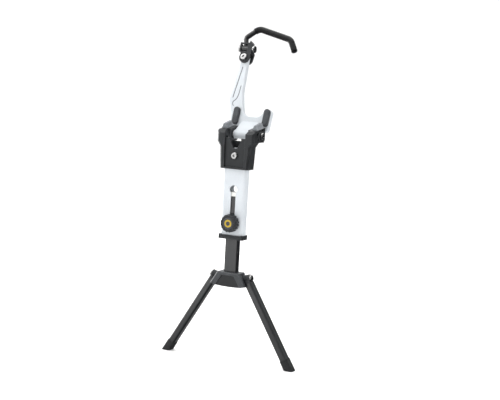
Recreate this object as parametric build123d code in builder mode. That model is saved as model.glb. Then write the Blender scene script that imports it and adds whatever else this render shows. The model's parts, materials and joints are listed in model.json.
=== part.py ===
"""Folding bipod repair stand for a bicycle.

The bottom-bracket shell lies in a padded cradle on top of a short telescopic mast, a hook on a
swinging arm reaches over the down tube, and two folding legs carry the load to the floor.

Frame: millimetres, +Z up along the mast, -Y is the front (knob side), X runs across the stand.
The origin is the axis of a 40 mm bottom-bracket shell that touches all four cradle pads. Inside the script
a place is given by x, its depth behind the mast's centre plane and its height above the floor.
"""
import os
from math import cos, radians, sin, tan

from build123d import *

os.makedirs("parts", exist_ok=True)

# ---- driving dimensions -------------------------------------------------------------------
CRADLE_HEIGHT = 389.2  # bottom-bracket axis above the floor, mast fully extended
CRADLE_DEPTH = 18.1  # bottom-bracket axis behind the mast's centre plane

TUBE_WIDTH, TUBE_DEPTH, TUBE_CORNER, TUBE_WALL = 40.5, 14.0, 5.5, 1.6
TUBE_BOTTOM, TUBE_TOP = 193.0, 330.0
POST_WIDTH, POST_DEPTH, POST_CORNER, POST_WALL = 22.4, 9.6, 2.2, 1.5
POST_BOTTOM, POST_TOP = 119.0, 256.0
TRAVEL = 50.5  # how far the post slides up into the tube
SLIDE_GAP = 0.15
SLOT_WIDTH, KEYHOLE_RADIUS = 8.2, 6.5

COLLAR_BOTTOM, COLLAR_TOP = 190.2, 196.4
COLLAR_WIDTH, COLLAR_FRONT, COLLAR_BACK = 41.6, -10.0, 8.0

KNOB_HEIGHT, KNOB_RADIUS, KNOB_FRONT, KNOB_BACK = 215.5, 13.8, -19.5, -8.9
KNOB_LOBES, SCALLOP_RADIUS, SCALLOP_OUT = 16, 1.6, 0.2

BRACKET_BOTTOM, BRACKET_FRONT, BRACKET_BACK = 298.3, -11.7, 8.2
PANEL_FRONT, PANEL_HALF, PANEL_TOP = -9.0, 16.8, 345.0
PANEL_THICK = 3.5
NOTCH_BOTTOM, NOTCH_HALF, NOTCH_TOP_HALF = 329.5, 3.6, 11.5
BRACKET_BOLT_HEIGHT = 318.4
TOWER_IN, TOWER_OUT = 15.0, 31.0
TOWER_BOTTOM = 339.5

PIVOT_DEPTH, PIVOT_HEIGHT = 16.0, 349.5
YOKE_TILT = 20.0  # the arm's lean behind the mast's direction
YOKE_FRONT, YOKE_BACK = 14.4, 22.4  # casting's faces, behind the pivot axis
BARREL_RADIUS, BARREL_HALF = 6.8, 14.2
PAD_X = 26.0

ARM_X, ARM_BOLT_S, ARM_TIP_RADIUS = -33.5, 129.0, 5.4
CLAMP_LEFT, CLAMP_RIGHT, EAR_THICK, EAR_GAP = 11.3, 9.8, 3.3, 0.3
EYE_X, HOOK_S, HOOK_BEHIND, HOOK_EYE_RADIUS, HOOK_EYE_HALF = -37.0, 144.5, 17.2, 5.4, 5.2
ROD_RADIUS, SLEEVE_RADIUS = 4.0, 5.0

SPLAY = 31.4  # leg's angle from the mast
HIP_X, HIP_DEPTH, HIP_HEIGHT = 27.2, 2.0, 131.1
LEG_WIDTH, LEG_DEPTH, LEG_CORNER, LEG_WALL = 11.6, 14.4, 3.0, 1.4
LEG_START = 8.0  # tube's upper end, from the hip along the leg
CROWN_FRONT, CROWN_WALL_BACK, CROWN_BACK, CROWN_TOP = -12.0, -5.5, 9.0, 139.0

CROWN_SCREW_HEIGHT, CAP_RADIUS = 126.0, 8.6
INSERT_RADIUS, INSERT_LENGTH = 3.4, 6.5

M5, M6 = 2.5, 3.0  # shank radii
THROUGH = 100.0  # depth of a cut that goes right through
FIT = 0.05  # radial clearance of a running fit
HOLE = 0.1  # radial clearance of a bolt's hole


# ---- planes -------------------------------------------------------------------------------
def level(height):
    """Horizontal plane at a height above the floor, centred on the mast."""
    return Plane((0, -CRADLE_DEPTH, height - CRADLE_HEIGHT))


def front(depth):
    """Upright plane facing the front: local (x, height above the floor)."""
    return Plane((0, depth - CRADLE_DEPTH, -CRADLE_HEIGHT), x_dir=(1, 0, 0), z_dir=(0, -1, 0))


def side(x):
    """Upright plane facing +X: local (depth, height above the floor)."""
    return Plane((x, -CRADLE_DEPTH, -CRADLE_HEIGHT), x_dir=(0, 1, 0), z_dir=(1, 0, 0))


def yoke(back):
    """Plane of the arm, facing the front, at a distance behind the pivot: local (x, s)."""
    lean = radians(YOKE_TILT)
    facing = Vector(0, -cos(lean), sin(lean))
    pivot = Vector(0, PIVOT_DEPTH - CRADLE_DEPTH, PIVOT_HEIGHT - CRADLE_HEIGHT)
    return Plane(pivot - facing * back, x_dir=(1, 0, 0), z_dir=facing)


def yoke_side(x):
    """Plane across the arm, facing +X: local (distance behind the pivot, s)."""
    lean = radians(YOKE_TILT)
    pivot = Vector(x, PIVOT_DEPTH - CRADLE_DEPTH, PIVOT_HEIGHT - CRADLE_HEIGHT)
    return Plane(pivot, x_dir=(0, cos(lean), -sin(lean)), z_dir=(1, 0, 0))


def hip_point(hand):
    return Vector(hand * HIP_X, HIP_DEPTH - CRADLE_DEPTH, HIP_HEIGHT - CRADLE_HEIGHT)


def hip(hand, along=0.0):
    """Plane across the hip's axis: local (depth, upward), at a distance outward."""
    half = radians(SPLAY / 2)
    axis = Vector(hand * cos(half), 0, sin(half))
    return Plane(hip_point(hand) + axis * along, x_dir=(0, hand, 0), z_dir=axis)


def leg(hand, along):
    """Plane across the leg at a distance from the hip: local (depth, width)."""
    splay = radians(SPLAY)
    down = Vector(hand * sin(splay), 0, -cos(splay))
    return Plane(hip_point(hand) + down * along, x_dir=(0, 1, 0), z_dir=down)


def shifted(plane, x, y):
    """The same plane with its origin moved along its own x and y."""
    return Plane(plane.origin + plane.x_dir * x + plane.y_dir * y, plane.x_dir, plane.z_dir)


def hexagon_across(flats):
    """Circumscribed radius of a hexagon, from its size across the flats."""
    return flats / 2 / cos(radians(30))


def button_bolt(plane, radius, head_radius, head_height, length):
    """Button-head bolt: the head stands on the plane, the shank goes behind it."""
    with BuildPart() as bolt:
        with BuildSketch(plane):
            Circle(head_radius)
        extrude(amount=head_height)
        outer_face = bolt.faces().sort_by(Axis((0, 0, 0), plane.z_dir))[-1]
        fillet(outer_face.edges(), head_height * 0.45)
        with BuildSketch(plane.offset(head_height + 1)):
            RegularPolygon(hexagon_across(radius * 4 / 3), 6)
        extrude(amount=-head_height * 0.6 - 1, mode=Mode.SUBTRACT)
        with BuildSketch(plane):
            Circle(radius)
        extrude(amount=-length)
    return bolt


def hex_nut(plane, radius, flats, height):
    """Hexagonal nut standing on the plane, with a rounded crown."""
    with BuildPart() as nut:
        with BuildSketch(plane):
            RegularPolygon(hexagon_across(flats), 6)
            Circle(radius, mode=Mode.SUBTRACT)
        extrude(amount=height)
        with BuildSketch(plane):
            Circle(flats / 2 + 0.35)
        extrude(amount=height, mode=Mode.INTERSECT)
    return nut


pieces = {}

# ---- mast: tube, collar, bush and cradle bracket ------------------------------------------
SLOT_LOW = KNOB_HEIGHT - M6 - 0.3 + SLOT_WIDTH / 2
KEYHOLE = KNOB_HEIGHT + TRAVEL + 0.5

with BuildPart() as outer_tube:
    with BuildSketch(level(TUBE_BOTTOM)):
        RectangleRounded(TUBE_WIDTH, TUBE_DEPTH, TUBE_CORNER)
        RectangleRounded(
            TUBE_WIDTH - 2 * TUBE_WALL, TUBE_DEPTH - 2 * TUBE_WALL, TUBE_CORNER - TUBE_WALL,
            mode=Mode.SUBTRACT,
        )
    extrude(amount=TUBE_TOP - TUBE_BOTTOM)
    with BuildSketch(front(0)):
        with Locations((0, KEYHOLE)):
            Circle(KEYHOLE_RADIUS)
        with Locations((0, SLOT_LOW)):
            Circle(SLOT_WIDTH / 2)
        with Locations((0, (KEYHOLE + SLOT_LOW) / 2)):
            Rectangle(SLOT_WIDTH, KEYHOLE - SLOT_LOW)
        with Locations((0, BRACKET_BOLT_HEIGHT)):
            Circle(M6 + HOLE)
    extrude(amount=THROUGH, both=True, mode=Mode.SUBTRACT)
pieces["outer_tube"] = outer_tube

COLLAR_MIDDLE = (COLLAR_FRONT + COLLAR_BACK) / 2
LIP_RISE, LIP_WIDTH = 0.8, 4.0
with BuildPart() as tube_collar:
    with BuildSketch(level(COLLAR_BOTTOM)):
        with Locations((0, COLLAR_MIDDLE)):
            RectangleRounded(COLLAR_WIDTH, COLLAR_BACK - COLLAR_FRONT, 2.5)
    extrude(amount=COLLAR_TOP - COLLAR_BOTTOM)
    with BuildSketch(level(COLLAR_BOTTOM)):
        for hand in (-1, 1):
            with Locations((hand * (COLLAR_WIDTH - LIP_WIDTH) / 2, COLLAR_MIDDLE)):
                RectangleRounded(LIP_WIDTH, COLLAR_BACK - COLLAR_FRONT, 1.5)
    extrude(amount=COLLAR_TOP - COLLAR_BOTTOM + LIP_RISE)
    with BuildSketch(level(TUBE_BOTTOM)):
        RectangleRounded(TUBE_WIDTH, TUBE_DEPTH, TUBE_CORNER)
    extrude(amount=THROUGH, mode=Mode.SUBTRACT)
    with BuildSketch(level(COLLAR_BOTTOM)):
        RectangleRounded(POST_WIDTH + 0.8, POST_DEPTH + 0.8, POST_CORNER + 0.4)
    extrude(amount=THROUGH, mode=Mode.SUBTRACT)
pieces["tube_collar"] = tube_collar

BUSH_LENGTH = 14.0
with BuildPart() as guide_bush:
    with BuildSketch(level(TUBE_BOTTOM)):
        RectangleRounded(
            TUBE_WIDTH - 2 * TUBE_WALL - 0.2, TUBE_DEPTH - 2 * TUBE_WALL - 0.2,
            TUBE_CORNER - TUBE_WALL - 0.1,
        )
        RectangleRounded(
            POST_WIDTH + 2 * SLIDE_GAP, POST_DEPTH + 2 * SLIDE_GAP, POST_CORNER + SLIDE_GAP,
            mode=Mode.SUBTRACT,
        )
    extrude(amount=BUSH_LENGTH)
pieces["guide_bush"] = guide_bush

TOWER_CREST, TOWER_FRONT_TOP, TOWER_RISE = -5.7, 357.0, 8.2
TOWER_LIMIT = 380.0  # above every part of the towers
SADDLE_BOTTOM, SADDLE_CORNER, SADDLE_WALL = 340.0, 9.0, 3.4
FUNNEL_WIDTH, FUNNEL_DEPTH, FUNNEL_CORNER = 20.0, 11.0, 3.0
FLARE_BACK, FLARE_BOTTOM, FLARE_TOP, FLARE_HALF = 2.0, 346.0, 360.0, 20.5


def tower_top(depth):
    """Height of the towers' sloping tops, behind their crest."""
    return TOWER_FRONT_TOP + (depth - TOWER_CREST) * tan(radians(TOWER_RISE))


with BuildPart() as cradle_bracket:
    with BuildSketch(front(BRACKET_BACK)):
        Polygon(
            (-24.3, BRACKET_BOTTOM), (24.3, BRACKET_BOTTOM), (26.2, 332), (TOWER_OUT, TOWER_BOTTOM),
            (TOWER_OUT, 366), (-TOWER_OUT, 366), (-TOWER_OUT, TOWER_BOTTOM), (-26.2, 332), align=None,
        )
    extrude(amount=BRACKET_BACK - BRACKET_FRONT)
    for hand in (-1, 1):
        with BuildSketch(side(hand * TOWER_IN)):
            Polygon(
                (-6, TOWER_BOTTOM), (25, TOWER_BOTTOM), (28.5, 344), (27.5, TOWER_LIMIT),
                (-6, TOWER_LIMIT),
                align=None,
            )
        extrude(amount=hand * (TOWER_OUT - TOWER_IN))
    long_edges = cradle_bracket.edges().filter_by(
        lambda e: abs(e.center().Y - (BRACKET_FRONT - CRADLE_DEPTH)) < 0.01
        and abs(e.tangent_at(0.5).Z) > 0.5
    )
    chamfer(long_edges, 3.2)
    # saddle between the towers, behind the front panel
    with BuildSketch(front(PANEL_FRONT + SADDLE_WALL)) as saddle:
        with Locations((0, (SADDLE_BOTTOM + TOWER_LIMIT) / 2)):
            Rectangle(2 * TOWER_IN, TOWER_LIMIT - SADDLE_BOTTOM)
        fillet(saddle.vertices().group_by(Axis.Z)[0], SADDLE_CORNER)
    extrude(amount=-THROUGH, mode=Mode.SUBTRACT)
    # the towers' inner faces flare towards the top in front
    with BuildSketch(front(FLARE_BACK)):
        Polygon(
            (-TOWER_IN, FLARE_BOTTOM), (TOWER_IN, FLARE_BOTTOM), (FLARE_HALF, FLARE_TOP),
            (FLARE_HALF, TOWER_LIMIT), (-FLARE_HALF, TOWER_LIMIT), (-FLARE_HALF, FLARE_TOP),
            align=None,
        )
    extrude(amount=THROUGH, mode=Mode.SUBTRACT)
    # the towers' tops rise towards the back
    with BuildSketch(side(0)):
        Polygon(
            (-15, 349.6), (TOWER_CREST, TOWER_FRONT_TOP), (40, tower_top(40)), (40, TOWER_LIMIT),
            (-15, TOWER_LIMIT), align=None,
        )
    extrude(amount=THROUGH, both=True, mode=Mode.SUBTRACT)
    # recessed front panel between the two pillars
    with BuildSketch(front(PANEL_FRONT)):
        Polygon(
            (-PANEL_HALF, BRACKET_BOTTOM + 2.4), (PANEL_HALF, BRACKET_BOTTOM + 2.4),
            (PANEL_HALF + 1, TOWER_LIMIT), (-PANEL_HALF - 1, TOWER_LIMIT), align=None,
        )
    extrude(amount=THROUGH, mode=Mode.SUBTRACT)
    with BuildSketch(front(PANEL_FRONT + PANEL_THICK)):
        with Locations((0, (PANEL_TOP + TOWER_LIMIT) / 2)):
            Rectangle(2 * PANEL_HALF, TOWER_LIMIT - PANEL_TOP)
    extrude(amount=THROUGH, mode=Mode.SUBTRACT)
    # funnel notch in the panel
    with BuildSketch(front(PANEL_FRONT + PANEL_THICK)) as notch:
        Polygon(
            (-NOTCH_TOP_HALF, PANEL_TOP + 1), (-NOTCH_HALF, NOTCH_BOTTOM), (NOTCH_HALF, NOTCH_BOTTOM),
            (NOTCH_TOP_HALF, PANEL_TOP + 1), align=None,
        )
        fillet(notch.vertices().group_by(Axis.Z)[0], 3.2)
    extrude(amount=THROUGH, mode=Mode.SUBTRACT)
    # socket for the tube
    with BuildSketch(level(BRACKET_BOTTOM)):
        RectangleRounded(TUBE_WIDTH, TUBE_DEPTH, TUBE_CORNER)
    extrude(amount=TUBE_TOP - BRACKET_BOTTOM, mode=Mode.SUBTRACT)
    # funnel behind the notch, down to the tube's top
    with BuildSketch(level(TUBE_TOP)):
        RectangleRounded(FUNNEL_WIDTH, FUNNEL_DEPTH, FUNNEL_CORNER)
    extrude(amount=THROUGH, mode=Mode.SUBTRACT)
    with BuildSketch(front(0)):
        with Locations((0, BRACKET_BOLT_HEIGHT)):
            Circle(M6 + HOLE)
    extrude(amount=THROUGH, both=True, mode=Mode.SUBTRACT)
    with BuildSketch(side(0)):
        with Locations((PIVOT_DEPTH, PIVOT_HEIGHT)):
            Circle(M6 + HOLE)
    extrude(amount=THROUGH, both=True, mode=Mode.SUBTRACT)
    # cored triangles in the outer faces of the ears
    for hand in (-1, 1):
        with BuildSketch(side(hand * TOWER_OUT)) as cores:
            Polygon((0.5, 342.4), (0.5, 354), (8.2, 356.4), align=None)
            Polygon((3.2, 341.4), (8.6, 352), (8.6, 341.4), align=None)
            Polygon((12.5, 357.6), (22, 360.8), (24.5, 357.5), align=None)
            Polygon((25, 353.5), (26, 345.5), (23.6, 343), (23.6, 353.5), align=None)
            fillet(cores.vertices(), 0.5)
        extrude(amount=-hand * 4, mode=Mode.SUBTRACT)
pieces["cradle_bracket"] = cradle_bracket

BOLT_TAIL = 4.6
bracket_bolt = button_bolt(
    shifted(front(PANEL_FRONT), 0, BRACKET_BOLT_HEIGHT), M6, 5.3, 3.2,
    BRACKET_BACK - PANEL_FRONT + BOLT_TAIL,
)
pieces["bracket_bolt"] = bracket_bolt
bracket_nut = hex_nut(
    shifted(front(BRACKET_BACK + BOLT_TAIL), 0, BRACKET_BOLT_HEIGHT), M6, 10, BOLT_TAIL
)
pieces["bracket_nut"] = bracket_nut

# ---- lower pads on the towers -------------------------------------------------------------
PAD_TOP_HALF, PAD_BASE_HALF = 2.0, 4.6
PAD_ENDS = ((2.5, 365.6), (21.8, 369.6))  # front and back of the top ridge: depth, height


def lower_pad(hand):
    """Drafted rubber block lying on a tower's sloping top, narrower above."""
    front_depth, front_height = PAD_ENDS[0]
    base = tower_top(front_depth) - 2
    run = (PAD_BASE_HALF - PAD_TOP_HALF) / (front_height - tower_top(front_depth))
    with BuildPart() as pad:
        for depth, height in PAD_ENDS:
            half = PAD_TOP_HALF + (height - base) * run
            with BuildSketch(front(depth)):
                Polygon(
                    (hand * PAD_X - half, base), (hand * PAD_X + half, base),
                    (hand * PAD_X + PAD_TOP_HALF, height), (hand * PAD_X - PAD_TOP_HALF, height),
                    align=None,
                )
        loft(ruled=True)
        fillet(pad.faces().sort_by(Axis.Z)[-1].edges(), 0.9)
        # the underside follows the tower's top
        with BuildSketch(side(0)):
            Polygon(
                (-10, base - 5), (-10, tower_top(-10)), (40, tower_top(40)), (40, base - 5), align=None
            )
        extrude(amount=THROUGH, both=True, mode=Mode.SUBTRACT)
    return pad


pieces["lower_pad_left"] = lower_pad(-1)
pieces["lower_pad_right"] = lower_pad(1)

# ---- yoke: casting, pads, bushes and its pivot --------------------------------------------
# corners of the casting's outline in the arm's plane (x, s), each with its rounding radius
YOKE_OUTLINE = (
    ((-34, 12), 4), ((31.6, 12), 4), ((32.4, 47.6), 6), ((19.4, 47.6), 4.5), ((15.5, 33.8), 12),
    ((-14.5, 33.8), 15), ((-19.8, 52), 25), ((-25, 72), 60), ((-28.1, ARM_BOLT_S + ARM_TIP_RADIUS), 5),
    ((-38.9, ARM_BOLT_S + ARM_TIP_RADIUS), 5), ((-42.5, 88), 120), ((-45.4, 58), 10), ((-37.4, 39), 30),
)
with BuildPart() as yoke_arm:
    with BuildSketch(yoke(YOKE_FRONT)):
        with BuildLine():
            FilletPolyline(
                *(corner for corner, _ in YOKE_OUTLINE), close=True,
                radius=[rounding for _, rounding in YOKE_OUTLINE],
            )
        make_face()
    extrude(amount=YOKE_FRONT - YOKE_BACK)
    rims = yoke_arm.faces().sort_by(Axis((0, 0, 0), yoke(0).z_dir))
    fillet(rims[-1].edges() + rims[0].edges(), 1.2)
    # web from the plate to the pivot barrel
    with BuildSketch(yoke_side(-BARREL_HALF)):
        Polygon((0, -BARREL_RADIUS), (YOKE_BACK - 2, 12.4), (YOKE_FRONT + 1, 27), (-2.2, 6.4), align=None)
        Circle(BARREL_RADIUS)
    extrude(amount=2 * BARREL_HALF)
    with BuildSketch(yoke_side(-BARREL_HALF)):
        Circle(M6 + 1.5)
    extrude(amount=2 * BARREL_HALF, mode=Mode.SUBTRACT)
    # hole for the clamp's bolt
    with BuildSketch(yoke(0)):
        with Locations((ARM_X, ARM_BOLT_S)):
            Circle(M6 + FIT)
    extrude(amount=-THROUGH, mode=Mode.SUBTRACT)
    # two engraved lines down the arm
    with BuildSketch(yoke(YOKE_FRONT)):
        with BuildLine():
            Line((-33.8, 114), (-39.6, 62.5))
        trace(line_width=1.3)
        with BuildLine():
            Spline((-29.8, 83), (-31.2, 66), (-34, 59.5), (-37.4, 56.3), (-37.6, 52.8), (-35.2, 49.2))
        trace(line_width=1.3)
    extrude(amount=-0.9, mode=Mode.SUBTRACT)
pieces["yoke_arm"] = yoke_arm

with BuildPart() as yoke_bushes:
    for hand in (-1, 1):
        with BuildSketch(yoke_side(hand * (BARREL_HALF - 0.1))):
            Circle(M6 + 1.5)
            Circle(M6 + FIT, mode=Mode.SUBTRACT)
        extrude(amount=-hand * 9)
pieces["yoke_bushes"] = yoke_bushes

with BuildPart() as pivot_washers:
    for hand in (-1, 1):
        with BuildSketch(side(hand * TOWER_IN)):
            with Locations((PIVOT_DEPTH, PIVOT_HEIGHT)):
                Circle(6.2)
                Circle(M6 + HOLE, mode=Mode.SUBTRACT)
        extrude(amount=-hand * 0.6)
pieces["pivot_washers"] = pivot_washers

pieces["pivot_bolt"] = button_bolt(
    shifted(side(TOWER_OUT), PIVOT_DEPTH, PIVOT_HEIGHT), M6, 5.3, 3.4, 2 * TOWER_OUT + BOLT_TAIL
)
pivot_nut_plane = Plane(
    shifted(side(-TOWER_OUT), PIVOT_DEPTH, PIVOT_HEIGHT).origin, x_dir=(0, 1, 0), z_dir=(-1, 0, 0)
)
pieces["pivot_nut"] = hex_nut(pivot_nut_plane, M6, 10, BOLT_TAIL)

UPPER_PAD_THICK, UPPER_PAD_LENGTH, UPPER_PAD_WIDTH, UPPER_PAD_S = 6.0, 28.0, 9.8, 33.0
UPPER_PAD_EDGE = 1.8


def upper_pad(hand):
    """Stadium-shaped rubber bar on the yoke's front face."""
    with BuildPart() as pad:
        with BuildSketch(shifted(yoke(YOKE_FRONT), hand * PAD_X, UPPER_PAD_S)):
            SlotOverall(UPPER_PAD_LENGTH, UPPER_PAD_WIDTH, rotation=90)
        extrude(amount=UPPER_PAD_THICK)
        fillet(pad.faces().sort_by(Axis((0, 0, 0), yoke(0).z_dir))[-1].edges(), UPPER_PAD_EDGE)
    return pad


pieces["upper_pad_left"] = upper_pad(-1)
pieces["upper_pad_right"] = upper_pad(1)

# ---- hook clamp at the arm's tip ----------------------------------------------------------
CLAMP_FRONT = YOKE_FRONT - EAR_GAP - EAR_THICK
CLAMP_BACK = YOKE_BACK + EAR_GAP + EAR_THICK
ARM_MIDDLE = (YOKE_FRONT + YOKE_BACK) / 2
WEB_S, WEB_TOP, EAR_TOP, FIN_TOP = ARM_BOLT_S + 7.3, 138.4, 153.0, 156.5
CHEEK_BACK = 23.0  # back of the cheeks round the hook's eye
CHEEK_TOP = 150.5  # top of the lower left cheek
BAR_BACK = CLAMP_FRONT + 2  # back of the bar in front of the hook's eye
CLAMP_LIMIT = 170.0  # above every part of the clamp

with BuildPart() as hook_clamp:
    with BuildSketch(yoke(CLAMP_FRONT)) as block:
        with Locations((ARM_X, ARM_BOLT_S)):
            Circle(8.8)
        with BuildLine():
            Polyline(
                (ARM_X - 8.8, ARM_BOLT_S), (ARM_X - 7.6, ARM_BOLT_S + 6),
                (ARM_X - CLAMP_LEFT, ARM_BOLT_S + 11), (ARM_X - CLAMP_LEFT, EAR_TOP),
                (ARM_X + 4, EAR_TOP), (ARM_X + 5.5, FIN_TOP), (ARM_X + CLAMP_RIGHT, EAR_TOP - 2.5),
                (ARM_X + CLAMP_RIGHT, ARM_BOLT_S + 9), (ARM_X + 8.8, ARM_BOLT_S), close=True,
            )
        make_face()
    extrude(amount=CLAMP_FRONT - CLAMP_BACK)
    # slot for the arm's tip
    with BuildSketch(yoke_side(ARM_X)):
        with Locations((ARM_MIDDLE, WEB_S - THROUGH / 2)):
            Rectangle(YOKE_BACK - YOKE_FRONT + 2 * EAR_GAP, THROUGH)
    extrude(amount=THROUGH, both=True, mode=Mode.SUBTRACT)
    # slot for the hook's eye, open above and behind
    with BuildSketch(yoke_side(EYE_X - HOOK_EYE_HALF - 0.3)):
        with BuildLine():
            Polyline(
                (CLAMP_FRONT - 5, WEB_TOP + 0.2), (CLAMP_BACK + 5, WEB_TOP + 0.2),
                (CLAMP_BACK + 5, CLAMP_LIMIT), (BAR_BACK, CLAMP_LIMIT), (BAR_BACK, CHEEK_TOP),
                (CLAMP_FRONT - 5, CHEEK_TOP), close=True,
            )
        make_face()
    extrude(amount=2 * HOOK_EYE_HALF + 0.6, mode=Mode.SUBTRACT)
    # the left cheek is lower behind the front bar, to clear the rod
    with BuildSketch(yoke_side(ARM_X)):
        Polygon(
            (BAR_BACK, CHEEK_TOP), (BAR_BACK, CLAMP_LIMIT), (CLAMP_BACK + 5, CLAMP_LIMIT),
            (CLAMP_BACK + 5, CHEEK_TOP), align=None,
        )
    extrude(amount=-THROUGH, mode=Mode.SUBTRACT)
    # the cheeks end in front of the rear ear's back
    with BuildSketch(yoke_side(ARM_X)):
        Polygon(
            (CHEEK_BACK, WEB_TOP + 0.6), (CHEEK_BACK, CLAMP_LIMIT), (CLAMP_BACK + 5, CLAMP_LIMIT),
            (CLAMP_BACK + 5, WEB_TOP + 0.6), align=None,
        )
    extrude(amount=THROUGH, both=True, mode=Mode.SUBTRACT)
    with BuildSketch(yoke(0)):
        with Locations((ARM_X, ARM_BOLT_S)):
            Circle(M6 + HOLE)
    extrude(amount=-THROUGH, mode=Mode.SUBTRACT)
    with BuildSketch(shifted(yoke_side(ARM_X), HOOK_BEHIND, HOOK_S)):
        Circle(M6 + HOLE)
    extrude(amount=THROUGH, both=True, mode=Mode.SUBTRACT)
pieces["hook_clamp"] = hook_clamp

pieces["clamp_bolt"] = button_bolt(
    shifted(yoke(CLAMP_FRONT), ARM_X, ARM_BOLT_S), M6, 5.3, 3.2, CLAMP_BACK - CLAMP_FRONT + BOLT_TAIL
)
pieces["clamp_nut"] = hex_nut(
    shifted(yoke(CLAMP_BACK + BOLT_TAIL), ARM_X, ARM_BOLT_S), M6, 10, BOLT_TAIL
)
hook_bolt_plane = shifted(yoke_side(ARM_X + CLAMP_RIGHT), HOOK_BEHIND, HOOK_S)
pieces["hook_bolt"] = button_bolt(hook_bolt_plane, M6, 6.0, 3.6, CLAMP_LEFT + CLAMP_RIGHT + 3.2)
pieces["hook_nut"] = hex_nut(
    shifted(yoke_side(ARM_X - CLAMP_LEFT - 3.2), HOOK_BEHIND, HOOK_S), M6, 10, 3.2
)

# ---- hook: rod with an eye, soft sleeve ---------------------------------------------------
ROD_POINTS = ((EYE_X, 148.5), (-41, 162.5), (-20.5, 178.9), (37, 163.5), (47, 145.5))
ROD_BENDS = (6, 14, 14)
hook_plane = yoke(HOOK_BEHIND)
hook_path = FilletPolyline(*(hook_plane.from_local_coords(p) for p in ROD_POINTS), radius=ROD_BENDS)

with BuildPart() as hook_rod:
    add(hook_path)
    with BuildSketch(Plane(hook_path @ 0, z_dir=hook_path % 0)):
        Circle(ROD_RADIUS)
    sweep(path=hook_path)
    with BuildSketch(shifted(yoke_side(EYE_X - HOOK_EYE_HALF), HOOK_BEHIND, HOOK_S)):
        Circle(HOOK_EYE_RADIUS)
    extrude(amount=2 * HOOK_EYE_HALF)
    with BuildSketch(shifted(yoke_side(EYE_X - HOOK_EYE_HALF), HOOK_BEHIND, HOOK_S)):
        Circle(M6 + FIT)
    extrude(amount=2 * HOOK_EYE_HALF, mode=Mode.SUBTRACT)
pieces["hook_rod"] = hook_rod

SLEEVE_LEAD = 8.0  # sleeve's start before the hook's upper bend
upper_bend = Vector(*ROD_POINTS[2])
sleeve_start = upper_bend - (upper_bend - Vector(*ROD_POINTS[1])).normalized() * SLEEVE_LEAD
sleeve_end = Vector(*ROD_POINTS[-1]) + (Vector(*ROD_POINTS[-1]) - Vector(*ROD_POINTS[-2])).normalized() * 2
sleeve_points = ((sleeve_start.X, sleeve_start.Y), *ROD_POINTS[2:-1], (sleeve_end.X, sleeve_end.Y))
sleeve_path = FilletPolyline(
    *(hook_plane.from_local_coords(p) for p in sleeve_points), radius=ROD_BENDS[1:]
)
with BuildPart() as hook_sleeve:
    add(sleeve_path)
    with BuildSketch(Plane(sleeve_path @ 0, z_dir=sleeve_path % 0)):
        Circle(SLEEVE_RADIUS)
    sweep(path=sleeve_path)
    fillet(hook_sleeve.edges().filter_by(GeomType.CIRCLE).sort_by_distance(sleeve_path @ 1)[0], 2.2)
    add(hook_rod.part, mode=Mode.SUBTRACT)
pieces["hook_sleeve"] = hook_sleeve

# ---- post: tube, glide, insert and knob ---------------------------------------------------
with BuildPart() as inner_post:
    with BuildSketch(level(POST_BOTTOM)):
        RectangleRounded(POST_WIDTH, POST_DEPTH, POST_CORNER)
        RectangleRounded(
            POST_WIDTH - 2 * POST_WALL, POST_DEPTH - 2 * POST_WALL, POST_CORNER - POST_WALL,
            mode=Mode.SUBTRACT,
        )
    extrude(amount=POST_TOP - POST_BOTTOM)
    with BuildSketch(front(0)):
        with Locations((0, KNOB_HEIGHT)):
            Circle(M6 + HOLE)
    extrude(amount=POST_DEPTH, mode=Mode.SUBTRACT)
    with BuildSketch(front(0)):
        with Locations((0, CROWN_SCREW_HEIGHT)):
            Circle(M5 + HOLE)
    extrude(amount=-POST_DEPTH, mode=Mode.SUBTRACT)
pieces["inner_post"] = inner_post

INSERT_HEIGHT = 16.0
with BuildPart() as knob_insert:
    with BuildSketch(level(KNOB_HEIGHT - INSERT_HEIGHT / 2)):
        Rectangle(POST_WIDTH - 2 * POST_WALL - 1.6, POST_DEPTH - 2 * POST_WALL - 0.1)
    extrude(amount=INSERT_HEIGHT)
    with BuildSketch(front(0)):
        with Locations((0, KNOB_HEIGHT)):
            Circle(M6 + FIT)
    extrude(amount=POST_DEPTH, both=True, mode=Mode.SUBTRACT)
pieces["knob_insert"] = knob_insert

GLIDE_THICK, GLIDE_SPIGOT = 6.0, 9.0
with BuildPart() as post_glide:
    with BuildSketch(level(POST_TOP)):
        RectangleRounded(
            TUBE_WIDTH - 2 * TUBE_WALL - 2 * SLIDE_GAP, TUBE_DEPTH - 2 * TUBE_WALL - 2 * SLIDE_GAP,
            TUBE_CORNER - TUBE_WALL - SLIDE_GAP,
        )
    extrude(amount=GLIDE_THICK)
    with BuildSketch(level(POST_TOP)):
        Rectangle(POST_WIDTH - 2 * POST_WALL - 1.6, POST_DEPTH - 2 * POST_WALL - 0.1)
    extrude(amount=-GLIDE_SPIGOT)
pieces["post_glide"] = post_glide

with BuildPart() as knob_grip:
    with BuildSketch(front(KNOB_BACK)):
        with Locations((0, KNOB_HEIGHT)):
            Circle(KNOB_RADIUS)
    extrude(amount=KNOB_BACK - KNOB_FRONT)
    fillet(knob_grip.faces().sort_by(Axis.Y)[0].edges(), 2.0)
    with BuildSketch(shifted(front(KNOB_BACK), 0, KNOB_HEIGHT)):
        with PolarLocations(KNOB_RADIUS + SCALLOP_OUT, KNOB_LOBES):
            Circle(SCALLOP_RADIUS)
    extrude(amount=KNOB_BACK - KNOB_FRONT, mode=Mode.SUBTRACT)
    with BuildSketch(shifted(front(KNOB_FRONT), 0, KNOB_HEIGHT)):
        Circle(CAP_RADIUS)
    extrude(amount=-1.6, mode=Mode.SUBTRACT)
    with BuildSketch(shifted(front(KNOB_BACK), 0, KNOB_HEIGHT)):
        Circle(M6)
    extrude(amount=7, mode=Mode.SUBTRACT)
pieces["knob_grip"] = knob_grip

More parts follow.
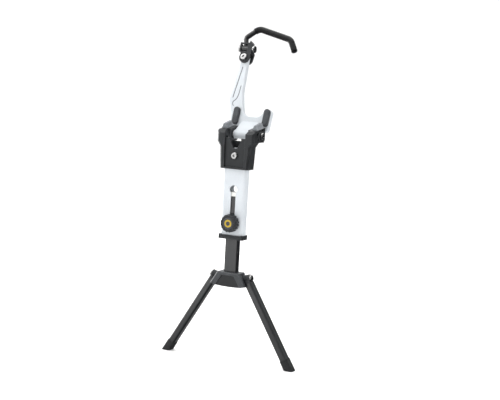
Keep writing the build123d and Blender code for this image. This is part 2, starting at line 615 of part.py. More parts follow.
with BuildPart() as knob_cap:
    with BuildSketch(shifted(front(KNOB_FRONT + 1.6), 0, KNOB_HEIGHT)):
        Circle(CAP_RADIUS - 0.1)
    extrude(amount=1.9)
    fillet(knob_cap.faces().sort_by(Axis.Y)[0].edges(), 0.5)
pieces["knob_cap"] = knob_cap

with BuildPart() as knob_stud:
    with BuildSketch(shifted(front(KNOB_BACK - 7), 0, KNOB_HEIGHT)):
        Circle(M6)
    extrude(amount=-(7 - KNOB_BACK + 2.8))
pieces["knob_stud"] = knob_stud

with BuildPart() as knob_washer:
    with BuildSketch(shifted(front(KNOB_BACK), 0, KNOB_HEIGHT)):
        Circle(8.5)
        Circle(M6 + HOLE, mode=Mode.SUBTRACT)
    extrude(amount=-1.5)
pieces["knob_washer"] = knob_washer

# ---- crown --------------------------------------------------------------------------------
CHANNEL_IN = -6.2  # crown's cheek beside a leg's head, along the hip's axis
HEAD_RADIUS, HEAD_IN, HEAD_OUT = 6.2, -5.9, 5.8
SPOT_FACE = 5.5  # radius of the leg head's seat for the hip bolt's head
WALL_REACH = CROWN_WALL_BACK - HIP_DEPTH  # front wall's inner face, from the hip's axis
CROWN_INNER, CROWN_OUTER, CROWN_TOP_HALF = (21.1, 117.4), (30.3, 119.4), 18.2

with BuildPart() as crown:
    with BuildSketch(front(CROWN_BACK)):
        with BuildLine():
            Polyline(
                (-CROWN_INNER[0], CROWN_INNER[1]), (-CROWN_OUTER[0], CROWN_OUTER[1]),
                (-CROWN_TOP_HALF, CROWN_TOP), (CROWN_TOP_HALF, CROWN_TOP), CROWN_OUTER, CROWN_INNER,
            )
            ThreePointArc(CROWN_INNER, (0, 116.6), (-CROWN_INNER[0], CROWN_INNER[1]))
        make_face()
    extrude(amount=CROWN_BACK - CROWN_FRONT)
    chamfer(crown.faces().sort_by(Axis.Y)[0].edges(), 1.0)
    for hand in (-1, 1):
        # space beside each cheek in which the leg's head turns, behind the front wall
        with BuildSketch(hip(hand, CHANNEL_IN)):
            with Locations((hand * (WALL_REACH + THROUGH / 2), 0)):
                Rectangle(THROUGH, THROUGH)
        extrude(amount=THROUGH, mode=Mode.SUBTRACT)
        with BuildSketch(hip(hand, CHANNEL_IN)):
            Circle(INSERT_RADIUS)
        extrude(amount=-INSERT_LENGTH, mode=Mode.SUBTRACT)
    # recessed front panel, open below
    with BuildSketch(front(CROWN_FRONT + 1.5)) as recess:
        Polygon(
            (-20.5, 112), (20.5, 112), (20.5, 118.4), (10.4, 134.6), (-10.4, 134.6), (-20.5, 118.4),
            align=None,
        )
        fillet(recess.vertices().group_by(Axis.Z)[-1], 2.5)
    extrude(amount=10, mode=Mode.SUBTRACT)
    # socket for the post, and the hole for its screw
    with BuildSketch(level(POST_BOTTOM)):
        RectangleRounded(POST_WIDTH, POST_DEPTH, POST_CORNER)
    extrude(amount=THROUGH, mode=Mode.SUBTRACT)
    with BuildSketch(front(CROWN_BACK)):
        with Locations((0, CROWN_SCREW_HEIGHT)):
            Circle(M5 + HOLE)
    extrude(amount=CROWN_BACK, mode=Mode.SUBTRACT)
pieces["crown"] = crown

with BuildPart() as hip_inserts:
    for hand in (-1, 1):
        with BuildSketch(hip(hand, CHANNEL_IN)):
            Circle(INSERT_RADIUS - 0.02)
            Circle(M5 + FIT, mode=Mode.SUBTRACT)
        extrude(amount=-INSERT_LENGTH)
pieces["hip_inserts"] = hip_inserts

with BuildPart() as hip_bolts:
    for hand in (-1, 1):
        seat = HEAD_OUT + 0.1
        add(button_bolt(hip(hand, seat), M5, 5.0, 3.2, seat - CHANNEL_IN + INSERT_LENGTH - 0.5).part)
pieces["hip_bolts"] = hip_bolts

with BuildPart() as post_plug:
    with BuildSketch(level(POST_BOTTOM)):
        Rectangle(POST_WIDTH - 2 * POST_WALL - 1.6, POST_DEPTH - 2 * POST_WALL - 0.1)
    extrude(amount=INSERT_HEIGHT)
    with BuildSketch(front(0)):
        with Locations((0, CROWN_SCREW_HEIGHT)):
            Circle(M5 + FIT)
    extrude(amount=POST_DEPTH, both=True, mode=Mode.SUBTRACT)
pieces["post_plug"] = post_plug

screw_plane = Plane(
    shifted(front(CROWN_BACK), 0, CROWN_SCREW_HEIGHT).origin, x_dir=(-1, 0, 0), z_dir=(0, 1, 0)
)
pieces["crown_screw"] = button_bolt(screw_plane, M5, 4.6, 2.8, CROWN_BACK + 2.5)

# ---- legs ---------------------------------------------------------------------------------
LEG_END, SPIGOT_END, PIN_ALONG, PIN_RADIUS = 146.3, 28.0, 19.0, 2.0
FOOT_START, FOOT_GROW = 134.8, 1.6
FOOT_STOCK = 40.0  # length of the cap before the floor cuts it


def leg_head(hand):
    """Hinge barrel, neck and the spigot inside the tube."""
    with BuildPart() as head:
        with BuildSketch(leg(hand, 2.4)):
            RectangleRounded(LEG_DEPTH - 0.6, LEG_WIDTH - 0.6, LEG_CORNER)
        extrude(amount=LEG_START - 2.4)
        with BuildSketch(hip(hand, HEAD_IN)):
            Circle(HEAD_RADIUS)
        extrude(amount=HEAD_OUT - HEAD_IN)
        with BuildSketch(leg(hand, LEG_START)):
            RectangleRounded(LEG_DEPTH - 2 * LEG_WALL - 0.1, LEG_WIDTH - 2 * LEG_WALL - 0.1, 1.5)
        extrude(amount=SPIGOT_END - LEG_START)
        with BuildSketch(hip(hand, HEAD_IN)):
            Circle(M5 + FIT)
        extrude(amount=HEAD_OUT - HEAD_IN, mode=Mode.SUBTRACT)
        with BuildSketch(hip(hand, HEAD_OUT)):
            Circle(SPOT_FACE)
        extrude(amount=10, mode=Mode.SUBTRACT)
        with BuildSketch(leg_face(hand)):
            Circle(PIN_RADIUS)
        extrude(amount=-LEG_DEPTH, mode=Mode.SUBTRACT)
    return head


def leg_face(hand):
    """Plane on the leg's front face, centred on the pin."""
    centre = leg(hand, PIN_ALONG).origin - Vector(0, LEG_DEPTH / 2, 0)
    return Plane(centre, x_dir=(1, 0, 0), z_dir=(0, -1, 0))


def leg_tube(hand):
    """Rounded rectangular tube of one leg."""
    with BuildPart() as tube:
        with BuildSketch(leg(hand, LEG_START)):
            RectangleRounded(LEG_DEPTH, LEG_WIDTH, LEG_CORNER)
            RectangleRounded(
                LEG_DEPTH - 2 * LEG_WALL, LEG_WIDTH - 2 * LEG_WALL, LEG_CORNER - LEG_WALL,
                mode=Mode.SUBTRACT,
            )
        extrude(amount=LEG_END - LEG_START)
        with BuildSketch(leg_face(hand)):
            Circle(PIN_RADIUS)
        extrude(amount=-LEG_DEPTH, mode=Mode.SUBTRACT)
    return tube


def leg_pin(hand):
    """Rivet that holds the tube on its head."""
    with BuildPart() as pin:
        with BuildSketch(leg_face(hand)):
            Circle(PIN_RADIUS - 0.02)
        extrude(amount=-LEG_DEPTH)
    return pin


def foot(hand):
    """Rubber cap, cut flat where it stands on the floor."""
    with BuildPart() as cap:
        with BuildSketch(leg(hand, FOOT_START)):
            RectangleRounded(LEG_DEPTH + FOOT_GROW, LEG_WIDTH + FOOT_GROW, LEG_CORNER + FOOT_GROW / 2)
        extrude(amount=FOOT_STOCK)
        fillet(cap.faces().sort_by(Axis.Z)[-1].edges(), 0.6)
        with BuildSketch(level(0)):
            Rectangle(4 * THROUGH, THROUGH)
        extrude(amount=-THROUGH, mode=Mode.SUBTRACT)
        with BuildSketch(leg(hand, FOOT_START)):
            RectangleRounded(LEG_DEPTH, LEG_WIDTH, LEG_CORNER)
        extrude(amount=LEG_END - FOOT_START, mode=Mode.SUBTRACT)
    return cap


for hand, word in ((-1, "left"), (1, "right")):
    pieces[f"{word}_leg_head"] = leg_head(hand)
    pieces[f"{word}_leg_tube"] = leg_tube(hand)
    pieces[f"{word}_leg_pin"] = leg_pin(hand)
    pieces[f"{word}_foot"] = foot(hand)

for name, piece in pieces.items():
    piece.part.label = name
    export_step(piece.part, f"parts/{name}.step")
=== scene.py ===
"""Looks of the folding bipod repair stand: finishes, rubber pieces, light and camera."""
import json
from math import cos, pi, radians, sin

import bmesh
import bpy
from mathutils import Matrix, Vector
from mathutils.bvhtree import BVHTree


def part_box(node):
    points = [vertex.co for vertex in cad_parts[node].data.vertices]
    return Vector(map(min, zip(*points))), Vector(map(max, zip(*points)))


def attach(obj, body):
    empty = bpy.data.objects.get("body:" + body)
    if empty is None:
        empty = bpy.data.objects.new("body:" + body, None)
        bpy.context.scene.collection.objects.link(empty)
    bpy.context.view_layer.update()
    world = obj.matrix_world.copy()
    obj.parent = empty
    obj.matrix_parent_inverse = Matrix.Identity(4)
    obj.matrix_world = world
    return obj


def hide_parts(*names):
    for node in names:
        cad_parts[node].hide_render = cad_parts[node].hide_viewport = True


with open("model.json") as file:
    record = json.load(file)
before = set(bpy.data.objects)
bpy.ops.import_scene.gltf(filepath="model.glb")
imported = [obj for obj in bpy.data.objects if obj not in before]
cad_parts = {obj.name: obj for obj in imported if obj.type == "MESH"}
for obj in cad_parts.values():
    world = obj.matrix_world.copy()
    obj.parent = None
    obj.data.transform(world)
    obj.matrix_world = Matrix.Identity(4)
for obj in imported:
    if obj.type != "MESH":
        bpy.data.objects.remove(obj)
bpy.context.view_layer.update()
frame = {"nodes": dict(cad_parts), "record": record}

MM = 0.001
CRADLE_HEIGHT, CRADLE_DEPTH = 389.2, 18.1  # the frame's origin above the floor and behind the mast, mm


def place(x, depth, height):
    """Point in the frame from millimetres across, behind the mast's plane and above the floor."""
    return Vector((x, depth - CRADLE_DEPTH, height - CRADLE_HEIGHT)) * MM


def new_object(name, data):
    """An object with the data, linked into the scene."""
    made = bpy.data.objects.new(name, data)
    bpy.context.scene.collection.objects.link(made)
    return made


def on_circle(radius, k, count):
    """The two coordinates of point k of count points evenly round a circle."""
    angle = 2 * pi * k / count
    return radius * cos(angle), radius * sin(angle)


# ---- camera -------------------------------------------------------------------------------
CAMERA_AT = Vector((0.8925, -1.7620, 0.0994))
CAMERA_AIM = Vector((0.0410, -0.0494, -0.1323))
CAMERA_UP = Vector((0, -0.1208, 0.9927))
SENSOR_WIDTH, FOCAL_LENGTH = 36, 93
backward = (CAMERA_AT - CAMERA_AIM).normalized()
rightward = CAMERA_UP.cross(backward).normalized()
upward = backward.cross(rightward)
camera_data = bpy.data.cameras.new("camera")
camera_data.sensor_fit = "HORIZONTAL"
camera_data.sensor_width = SENSOR_WIDTH
camera_data.lens = FOCAL_LENGTH
camera = new_object("camera", camera_data)
turned = Matrix((rightward, upward, backward)).transposed().to_4x4()
camera.matrix_world = Matrix.Translation(CAMERA_AT) @ turned
bpy.context.scene.camera = camera


# ---- node helpers -------------------------------------------------------------------------
def add_node(tree, kind, inputs=(), **settings):
    """A node with its settings, and its inputs given as name or index and a value or socket."""
    node = tree.nodes.new(kind)
    for name, value in settings.items():
        setattr(node, name, value)
    for key, value in inputs:
        if isinstance(value, bpy.types.NodeSocket):
            tree.links.new(value, node.inputs[key])
        else:
            node.inputs[key].default_value = value
    return node


def calculate(tree, operation, first, second):
    return add_node(
        tree, "ShaderNodeMath", ((0, first), (1, second)), operation=operation
    ).outputs["Value"]


def dot_product(tree, first, second):
    return add_node(
        tree, "ShaderNodeVectorMath", ((0, first), (1, second)), operation="DOT_PRODUCT"
    ).outputs["Value"]


def noise(tree, vector, scale, detail=3.0):
    return add_node(
        tree, "ShaderNodeTexNoise", (("Vector", vector), ("Scale", scale), ("Detail", detail))
    ).outputs["Fac"]


def remap(tree, value, low, high, to_low, to_high):
    return add_node(
        tree, "ShaderNodeMapRange",
        (("Value", value), ("From Min", low), ("From Max", high), ("To Min", to_low), ("To Max", to_high)),
    ).outputs["Result"]


def mix(tree, factor, first, second):
    node = add_node(tree, "ShaderNodeMix", (("Factor", factor),), data_type="RGBA")
    for key, value in ((6, first), (7, second)):
        if isinstance(value, bpy.types.NodeSocket):
            tree.links.new(value, node.inputs[key])
        else:
            node.inputs[key].default_value = (*value, 1)
    return node.outputs[2]


FLAT, SHARP = 0.995, 0.9  # cosines between a face and its rounded normal, where the edge colour's wear and painted highlight begin and are full


def rounded_edges_for_wear_and_highlight(tree, radius):
    """The edge mask for wear and a painted highlight, 1 along convex and concave edges and 0 on open faces,
    and the rounded normal.
    """
    bevel = add_node(tree, "ShaderNodeBevel", (("Radius", radius),), samples=4)
    true = add_node(tree, "ShaderNodeNewGeometry").outputs["Normal"]
    closeness = dot_product(tree, bevel.outputs["Normal"], true)
    return remap(tree, closeness, FLAT, SHARP, 0, 1), bevel.outputs["Normal"]


def finish(
    name, dark, light, rough, mottle, grain, relief, edge=None, edge_radius=0.0005, stretch=(1, 1, 1),
    recess=0.0, recess_shade=0.06, **sockets,
):
    """Procedural finish: mottled colour, uneven roughness, fine relief, rounded edges coloured by wear and a
    painted highlight, and painted shade in hollows.

    Lengths are in metres. rough is the lowest and highest roughness; mottle and grain are the sizes of
    the colour's patches and of the surface's relief, and relief is the depth of the grain; edge is the
    colour of edges, part wear and part painted highlight, and edge_radius is how far edges are rounded;
    stretch scales the grain along each axis; recess is how narrow a hollow is for painted shade to
    darken it to that share of the colour.
    """
    material = bpy.data.materials.new(name)
    material.use_nodes = True
    tree = material.node_tree
    shader = tree.nodes["Principled BSDF"]
    place_node = add_node(tree, "ShaderNodeTexCoord").outputs["Object"]
    scaled = add_node(
        tree, "ShaderNodeMapping", (("Vector", place_node), ("Scale", stretch))
    ).outputs["Vector"]
    patches = noise(tree, place_node, 1 / mottle)
    fine = noise(tree, scaled, 1 / grain)
    blend = calculate(tree, "ADD", patches, fine)
    colour = mix(tree, remap(tree, blend, 0.7, 1.3, 0, 1), dark, light)
    edge_wear_and_highlight, rounded = rounded_edges_for_wear_and_highlight(tree, edge_radius)
    # edges take a lighter colour, part wear scuffed in patches and part painted highlight
    if edge:
        patchy_wear_and_highlight = calculate(tree, "MULTIPLY", edge_wear_and_highlight, remap(tree, patches, 0.35, 0.7, 0.25, 1))
        colour = mix(tree, patchy_wear_and_highlight, colour, edge)
    # painted shade: ambient occlusion darkens the colour in narrow hollows towards a share of the dark
    # colour
    if recess:
        occlusion = add_node(tree, "ShaderNodeAmbientOcclusion", (("Distance", recess),), samples=8)
        open_sky = remap(tree, occlusion.outputs["AO"], 0.35, 0.75, 0, 1)
        colour = mix(tree, open_sky, tuple(recess_shade * part for part in dark), colour)
    tree.links.new(colour, shader.inputs["Base Color"])
    tree.links.new(remap(tree, blend, 0.6, 1.4, *rough), shader.inputs["Roughness"])
    bump = add_node(
        tree, "ShaderNodeBump",
        (("Height", fine), ("Strength", 1.0), ("Distance", relief), ("Normal", rounded)),
    )
    tree.links.new(bump.outputs["Normal"], shader.inputs["Normal"])
    for socket, value in sockets.items():
        shader.inputs[socket.replace("_", " ")].default_value = value
    return material


FACES_FORWARD = 0.9  # cosine to the facing direction, at least


def colour_sunk_floors(material, facing, origin, shallow, deep, sunk_colour):
    """Gives a darker colour to what faces forward and lies between two depths behind a point, as a groove's
    floor does.
    """
    tree = material.node_tree
    shader = tree.nodes["Principled BSDF"]
    painted = shader.inputs["Base Color"].links[0].from_socket
    coordinates = add_node(tree, "ShaderNodeTexCoord")
    offset = add_node(
        tree, "ShaderNodeVectorMath", ((0, coordinates.outputs["Object"]), (1, origin)), operation="SUBTRACT"
    ).outputs["Vector"]
    behind = dot_product(tree, offset, -facing)
    faced = dot_product(tree, coordinates.outputs["Normal"], facing)
    inside = calculate(
        tree, "MULTIPLY",
        calculate(tree, "GREATER_THAN", behind, shallow), calculate(tree, "LESS_THAN", behind, deep),
    )
    floor_only = calculate(tree, "MULTIPLY", inside, calculate(tree, "GREATER_THAN", faced, FACES_FORWARD))
    tree.links.new(mix(tree, floor_only, painted, sunk_colour), shader.inputs["Base Color"])


# ---- finishes -----------------------------------------------------------------------------
def white_paint(name):
    # painted shade darkens the white paint's hollows; its lighter edge colour is part wear, part painted
    # highlight
    return finish(
        name, (0.57, 0.605, 0.64), (0.64, 0.675, 0.705), (0.34, 0.46), 0.03, 0.0011, 0.00001,
        edge=(0.74, 0.77, 0.79), recess=0.003, recess_shade=0.55, Coat_Weight=0.35, Coat_Roughness=0.18,
    )


# where a recess is given, the colour has painted shade in hollows; edge colours are part wear, part painted
# highlight
FINISHES = {
    "white_paint": white_paint("powder_coat"),
    "black_moulding": finish(
        "nylon_moulding", (0.017, 0.0188, 0.021), (0.027, 0.0295, 0.0325), (0.42, 0.58),
        0.012, 0.00035, 0.00003,
        edge=(0.15, 0.157, 0.165), edge_radius=0.0007, recess=0.0035, recess_shade=0.3, Specular_IOR_Level=0.4,
    ),
    "black_gloss": finish(
        "gloss_tube", (0.007, 0.0075, 0.0085), (0.012, 0.013, 0.0145), (0.26, 0.38), 0.02, 0.0006, 0.000004,
        edge=(0.03, 0.031, 0.033), stretch=(1, 1, 0.05), Coat_Weight=0.7, Coat_Roughness=0.1,
    ),
    # painted shade darkens the chrome's hex sockets and other hollows to near black
    "chrome": finish(
        "plated", (0.4, 0.4, 0.4), (0.58, 0.58, 0.575), (0.16, 0.32), 0.003, 0.0005, 0.000006,
        edge=(0.75, 0.75, 0.75), edge_radius=0.0003, recess=0.0025, Metallic=1.0,
    ),
    "steel": finish(
        "plain_steel", (0.42, 0.42, 0.42), (0.6, 0.6, 0.59), (0.28, 0.44), 0.003, 0.0004, 0.000008,
        stretch=(1, 6, 1), Metallic=1.0,
    ),
    "brass": finish(
        "turned_brass", (0.62, 0.46, 0.2), (0.8, 0.64, 0.32), (0.25, 0.4), 0.003, 0.0004, 0.000008,
        stretch=(6, 1, 1), Metallic=1.0,
    ),
    "acetal": finish(
        "acetal", (0.74, 0.74, 0.70), (0.86, 0.86, 0.83), (0.35, 0.5), 0.006, 0.0005, 0.000008,
    ),
    "grey_rubber": finish(
        "grey_rubber", (0.17, 0.185, 0.2), (0.27, 0.285, 0.305), (0.6, 0.82), 0.004, 0.0004, 0.00004,
        edge=(0.36, 0.375, 0.4), edge_radius=0.0004,
    ),
    "black_rubber": finish(
        "pad_rubber", (0.04, 0.0445, 0.049), (0.066, 0.072, 0.078), (0.58, 0.78), 0.006, 0.0004, 0.00004,
        edge=(0.12, 0.125, 0.13), edge_radius=0.0005,
    ),
    "soft_sleeve": finish(
        "dipped_sleeve", (0.0035, 0.0035, 0.0037), (0.007, 0.007, 0.0074), (0.24, 0.36),
        0.008, 0.0009, 0.00002,
        edge_radius=0.0004, Specular_IOR_Level=0.22,
    ),
    "cap_gloss": finish(
        "knob_cap", (0.028, 0.03, 0.033), (0.042, 0.045, 0.048), (0.26, 0.4), 0.005, 0.0006, 0.00001,
        edge=(0.09, 0.09, 0.095), Coat_Weight=0.3, Coat_Roughness=0.15,
    ),
}


def dress(node, material):
    """Gives the material to every slot of a CAD node."""
    for material_slot in frame["nodes"][node].material_slots:
        material_slot.material = material


for subpart in frame["record"]["subparts"]:
    if subpart["material_slot"] in FINISHES:
        dress(subpart["node"], FINISHES[subpart["material_slot"]])

# grey lines in the arm's engraving, whose floor lies between two depths behind the pivot
YOKE_TILT = radians(20)
YOKE_FACING = Vector((0, -cos(YOKE_TILT), sin(YOKE_TILT)))
PIVOT = place(0, 16, 349.5)
ENGRAVING_SHALLOW, ENGRAVING_DEEP = 15.0 * MM, 15.6 * MM
arm_paint = white_paint("powder_coat_arm")
colour_sunk_floors(arm_paint, YOKE_FACING, PIVOT, ENGRAVING_SHALLOW, ENGRAVING_DEEP, (0.19, 0.2, 0.215))
dress("yoke_arm", arm_paint)

# the crown's rim is satin; its colour is lighter than the other black mouldings, painted light, and the
# floor of the panel sunk into its front is painted darker, painted shade
CROWN_FRONT = place(0, -12, 0)
PANEL_SHALLOW, PANEL_DEEP = 1.3 * MM, 1.7 * MM
# painted light: a lighter base colour than the nylon moulding, and a stronger painted highlight on the edges
crown_painted_lit = finish(
    "crown_moulding_painted_lit", (0.034, 0.037, 0.041), (0.048, 0.052, 0.057), (0.36, 0.5), 0.012, 0.00035, 0.00003,
    edge=(0.17, 0.178, 0.187), edge_radius=0.0008, recess=0.0035, recess_shade=0.3,
)
# painted shade: the sunk panel's floor is coloured near black
colour_sunk_floors(
    crown_painted_lit, Vector((0, -1, 0)), CROWN_FRONT, PANEL_SHALLOW, PANEL_DEEP, (0.012, 0.0132, 0.0147)
)
dress("crown", crown_painted_lit)


# ---- rubber pieces ------------------------------------------------------------------------
def body_of_node(node):
    bodies = frame["record"]["behaviour"]["bodies"]
    return next(body for body, members in bodies.items() if node in members)


def rubber(node, name, voxel, smoothing, shape, material):
    """A rubber piece in a CAD solid's place: its skin remeshed finely, then shaped point by point.

    shape(point, normal) gives how far a point moves along its normal, in metres.
    """
    mesh = frame["nodes"][node].data.copy()
    welded = bmesh.new()
    welded.from_mesh(mesh)
    bmesh.ops.remove_doubles(welded, verts=welded.verts, dist=1e-6)
    bmesh.ops.recalc_face_normals(welded, faces=welded.faces)
    welded.to_mesh(mesh)
    welded.free()
    piece = new_object(name, mesh)
    remesh = piece.modifiers.new("fine_skin", "REMESH")
    remesh.mode = "VOXEL"
    remesh.voxel_size = voxel
    smooth = piece.modifiers.new("smooth", "SMOOTH")
    smooth.factor = 0.5
    smooth.iterations = smoothing
    bpy.context.view_layer.update()
    evaluated = piece.evaluated_get(bpy.context.evaluated_depsgraph_get())
    skin = bpy.data.meshes.new_from_object(evaluated)
    piece.modifiers.clear()
    piece.data = skin
    normals = [v.normal.copy() for v in skin.vertices]
    for vertex, normal in zip(skin.vertices, normals):
        vertex.co += normal * shape(vertex.co, normal)
    skin.materials.clear()
    skin.materials.append(material)
    skin.shade_smooth()
    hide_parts(node)
    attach(piece, body_of_node(node))
    return piece


def ridge(position, pitch, width):
    """1 on raised bands of the given width repeated at the pitch, 0 between, with soft sides."""
    phase = (position / pitch) % 1.0
    distance = min(phase, 1 - phase) * pitch
    return max(0.0, min(1.0, (width / 2 - distance) / 0.25 + 0.5))


def window(value, low, high, soft):
    """1 between low and high, fading to 0 over the soft width outside."""
    return max(0.0, min(1.0, (value - low) / soft + 1, (high - value) / soft + 1))


# lower pads: fine ribs across the drafted side faces, inside a plain border, in mm
RIB_PITCH, RIB_WIDTH, RIB_DEPTH = 4.6, 2.3, 0.9
RIBS_FRONT, RIBS_BACK = 6.0, 19.0  # behind the mast's plane
RIBS_HIGH, RIBS_LOW = 1.3, 5.6  # below the line along the pad's top
TOP_FRONT_DEPTH, TOP_FRONT_HEIGHT = 2.5, 365.6  # that line's two ends
TOP_BACK_DEPTH, TOP_BACK_HEIGHT = 21.8, 369.6
RIBS_FADE = 0.4
SIDEWAYS = 0.6  # how much of a side face's normal lies along x, at least


def ribbed(point, normal):
    depth = point.y / MM + CRADLE_DEPTH
    height = point.z / MM + CRADLE_HEIGHT
    rise, run = TOP_BACK_HEIGHT - TOP_FRONT_HEIGHT, TOP_BACK_DEPTH - TOP_FRONT_DEPTH
    top = TOP_FRONT_HEIGHT + (depth - TOP_FRONT_DEPTH) * rise / run
    if abs(normal.x) < SIDEWAYS:
        return 0.0
    along = window(depth, RIBS_FRONT, RIBS_BACK, RIBS_FADE)
    inside = along * window(top - height, RIBS_HIGH, RIBS_LOW, RIBS_FADE)
    return -RIB_DEPTH * MM * inside * (1 - ridge(depth, RIB_PITCH, RIB_WIDTH))


for side_name in ("left", "right"):
    lower_pad = rubber(
        f"lower_pad_{side_name}", f"cradle_pad_{side_name}", voxel=0.28 * MM, smoothing=2, shape=ribbed,
        material=FINISHES["grey_rubber"],
    )

# upper pads: a shallow parting line round the sides, as on a moulding, in mm behind the pivot
PARTING_FRONT, PARTING_BACK, PARTING_FADE, PARTING_DEPTH = 11.9, 12.1, 0.3, 0.18
END_ON = 0.5  # how much of an end face's normal lies along the yoke's facing, or along the leg


def parting_line(point, normal):
    behind = (point - PIVOT).dot(-YOKE_FACING) / MM
    if abs(normal.dot(YOKE_FACING)) > END_ON:
        return 0.0
    return -PARTING_DEPTH * MM * window(behind, PARTING_FRONT, PARTING_BACK, PARTING_FADE)


for side_name in ("left", "right"):
    upper_pad = rubber(
        f"upper_pad_{side_name}", f"rest_pad_{side_name}", voxel=0.32 * MM, smoothing=3,
        shape=parting_line, material=FINISHES["black_rubber"],
    )

# feet: grooves round the cap below its collar, in mm along the leg from its hip
SPLAY = radians(31.4)
HIP_X, HIP_DEPTH, HIP_HEIGHT = 27.2, 2.0, 131.1
LEG_HALF_DEPTH, LEG_HALF_WIDTH, OUTER_SKIN = 7.2, 5.8, 0.4
GROOVES_START, GROOVES_END, GROOVES_FADE = 138.6, 146.4, 0.3
FIRST_GROOVE, GROOVE_PITCH, GROOVE_WIDTH, GROOVE_DEPTH = 139.0, 2.4, 0.9, 0.4
foot_rubber = finish(
    "foot_rubber", (0.008, 0.0085, 0.009), (0.016, 0.017, 0.018), (0.5, 0.72), 0.005, 0.0004, 0.00003,
    edge=(0.07, 0.072, 0.075), edge_radius=0.0005,
)


def grooved(hand):
    """The shape of one foot's skin, where hand is -1 on the left and 1 on the right."""
    hip = place(hand * HIP_X, HIP_DEPTH, HIP_HEIGHT)
    down = Vector((hand * sin(SPLAY), 0, -cos(SPLAY)))
    across = Vector((hand * cos(SPLAY), 0, sin(SPLAY)))

    def shape(point, normal):
        offset = point - hip
        along = offset.dot(down) / MM
        past_depth = abs(offset.y) / MM > LEG_HALF_DEPTH + OUTER_SKIN
        past_width = abs(offset.dot(across)) / MM > LEG_HALF_WIDTH + OUTER_SKIN
        if not (past_depth or past_width) or abs(normal.dot(down)) > END_ON:
            return 0.0
        inside = window(along, GROOVES_START, GROOVES_END, GROOVES_FADE)
        return -GROOVE_DEPTH * MM * inside * ridge(along - FIRST_GROOVE, GROOVE_PITCH, GROOVE_WIDTH)

    return shape


for side_name, hand in (("left", -1), ("right", 1)):
    rubber(
        f"{side_name}_foot", f"{side_name}_foot_cap", voxel=0.42 * MM, smoothing=2, shape=grooved(hand),
        material=foot_rubber,
    )

# sleeve: the dipped coating swells a little at its start and varies in thickness
BORE_SKIN = 0.35 * MM  # closer to the rod than this is the sleeve's bore, which stays as it is
LIP_LENGTH, LIP_FADE, LIP_SWELL = 1.6 * MM, 0.6 * MM, 0.12 * MM
WAVE_ACROSS, WAVE_UP, WAVE_START = 260, 310, 1.3  # radians per metre along x and z, and radians
WAVE_DEPTH = 0.05 * MM
rod_mesh = frame["nodes"]["hook_rod"].data
rod_tree = BVHTree.FromPolygons(
    [v.co.copy() for v in rod_mesh.vertices], [tuple(p.vertices) for p in rod_mesh.polygons]
)
sleeve_low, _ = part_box("hook_sleeve")


def dipped(point, normal):
    distance = rod_tree.find_nearest(point)[3]
    if distance < BORE_SKIN:
        return 0.0
    lip = window(point.x - sleeve_low.x, -1.0, LIP_LENGTH, LIP_FADE)
    wave = sin(point.x * WAVE_ACROSS) * sin(point.z * WAVE_UP + WAVE_START)
    return LIP_SWELL * lip + WAVE_DEPTH * wave


rubber(
    "hook_sleeve", "hook_grip", voxel=0.4 * MM, smoothing=4, shape=dipped,
    material=FINISHES["soft_sleeve"],
)

# ---- plain ring mark on the knob's cap ----------------------------------------------------
SEGMENTS = 96
RING_INNER, RING_OUTER = 3.3 * MM, 5.9 * MM
RING_PROUD, RING_SUNK, RING_BEVEL = 0.12 * MM, 0.1 * MM, 0.1 * MM
ring_middle = place(0, -19.8, 215.5)
ring_profile = (
    (RING_INNER, RING_SUNK), (RING_INNER + RING_BEVEL, -RING_PROUD),
    (RING_OUTER - RING_BEVEL, -RING_PROUD), (RING_OUTER, RING_SUNK),
)


def ring_point(radius, out, k):
    across, up = on_circle(radius, k, SEGMENTS)
    return ring_middle + Vector((across, out, up))


ring_shape = bmesh.new()
rings = [
    [ring_shape.verts.new(ring_point(radius, out, k)) for radius, out in ring_profile]
    for k in range(SEGMENTS)
]
for k in range(SEGMENTS):
    here, there = rings[k], rings[(k + 1) % SEGMENTS]
    for j in range(len(ring_profile)):
        following = (j + 1) % len(ring_profile)
        ring_shape.faces.new((here[j], here[following], there[following], there[j]))
bmesh.ops.recalc_face_normals(ring_shape, faces=ring_shape.faces)
ring_mesh = bpy.data.meshes.new("knob_ring")
ring_shape.to_mesh(ring_mesh)
ring_shape.free()
knob_ring = new_object("knob_ring", ring_mesh)
ring_mesh.materials.append(
    finish(
        "yellow_ring", (0.42, 0.28, 0.006), (0.54, 0.37, 0.01), (0.35, 0.5), 0.002, 0.0005, 0.00001,
        edge=(0.6, 0.44, 0.03), edge_radius=0.0002,
    )
)
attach(knob_ring, "knob")

# ---- floor, light -------------------------------------------------------------------------
FLOOR_HEIGHT = -CRADLE_HEIGHT * MM
MIDDLE_RADIUS, FLOOR_RADIUS, WALL_RADIUS, WALL_HEIGHT = 0.6, 2.6, 3.6, 3.2
bowl = bmesh.new()
TURNS, STEPS = 96, 16
outline = [(MIDDLE_RADIUS, 0.0), (FLOOR_RADIUS, 0.0)]
for k in range(1, STEPS + 1):
    angle = pi / 2 * k / STEPS
    outline.append(
        (FLOOR_RADIUS + (WALL_RADIUS - FLOOR_RADIUS) * sin(angle),
         (WALL_RADIUS - FLOOR_RADIUS) * (1 - cos(angle)))
    )
outline.append((WALL_RADIUS, WALL_HEIGHT))
loops = [
    [bowl.verts.new((*on_circle(radius, k, TURNS), FLOOR_HEIGHT + rise)) for radius, rise in outline]
    for k in range(TURNS)
]
hub = bowl.verts.new((0, 0, FLOOR_HEIGHT))
for k in range(TURNS):
    here, there = loops[k], loops[(k + 1) % TURNS]
    bowl.faces.new((hub, here[0], there[0]))
    for j in range(len(here) - 1):
        bowl.faces.new((here[j], here[j + 1], there[j + 1], there[j]))
bmesh.ops.recalc_face_normals(bowl, faces=bowl.faces)
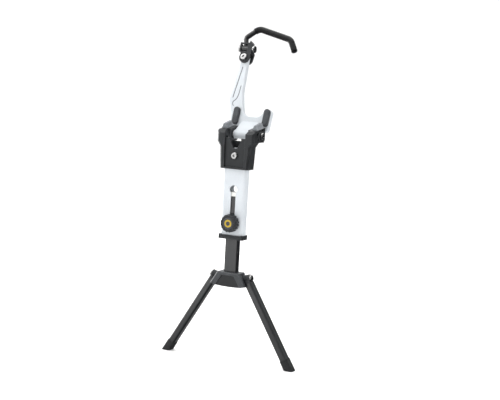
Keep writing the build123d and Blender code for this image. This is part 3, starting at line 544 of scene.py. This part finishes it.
floor_mesh = bpy.data.meshes.new("studio_floor")
bowl.to_mesh(floor_mesh)
bowl.free()
floor_mesh.shade_smooth()
floor = new_object("studio_floor", floor_mesh)
floor_mesh.materials.append(
    finish(
        "studio_white", (0.86, 0.86, 0.86), (0.9, 0.9, 0.9), (0.7, 0.8), 0.4, 0.01, 0.00001,
        Emission_Color=(1, 1, 1, 1), Emission_Strength=0.1,
    )
)
floor.visible_glossy = False


STAND_MIDDLE = Vector((0, 0, -0.12))


def softbox(name, at, width, height, power):
    """Area light at a point, aimed at the stand's middle."""
    data = bpy.data.lights.new(name, "AREA")
    data.shape = "RECTANGLE"
    data.size = width
    data.size_y = height
    data.energy = power
    lamp = new_object(name, data)
    lamp.location = at
    aim = STAND_MIDDLE - Vector(at)
    lamp.rotation_euler = aim.to_track_quat("-Z", "Y").to_euler()
    lamp.visible_camera = False


softbox("front_card", (-0.95, -2.1, -0.05), 1.3, 1.5, 5.5)
softbox("key_light", (-0.9, -1.3, 1.9), 1.3, 1.3, 13)
softbox("top_light", (0.0, 0.3, 2.4), 2.4, 2.4, 34)
softbox("edge_light", (-1.75, 0.55, 0.1), 1.1, 1.9, 46)
softbox("back_light", (-0.3, 2.1, 1.5), 1.8, 1.2, 20)

# the surroundings that gloss reflects: bright on the left and above, dark on the right
world = bpy.data.worlds.new("studio")
world.use_nodes = True
tree = world.node_tree
direction = add_node(tree, "ShaderNodeTexCoord").outputs["Generated"]
parts = add_node(tree, "ShaderNodeSeparateXYZ", (("Vector", direction),))
leftward = remap(tree, parts.outputs["X"], 0.35, -0.75, 0.0, 1.0)
overhead = remap(tree, parts.outputs["Z"], 0.1, 0.9, 0.0, 0.9)
brighter = calculate(tree, "MAXIMUM", leftward, overhead)
tree.links.new(
    mix(tree, brighter, (0.05, 0.052, 0.056), (1.0, 1.0, 1.0)), tree.nodes["Background"].inputs["Color"]
)
tree.nodes["Background"].inputs["Strength"].default_value = 0.9
bpy.context.scene.world = world
bpy.context.scene.view_settings.view_transform = "Standard"
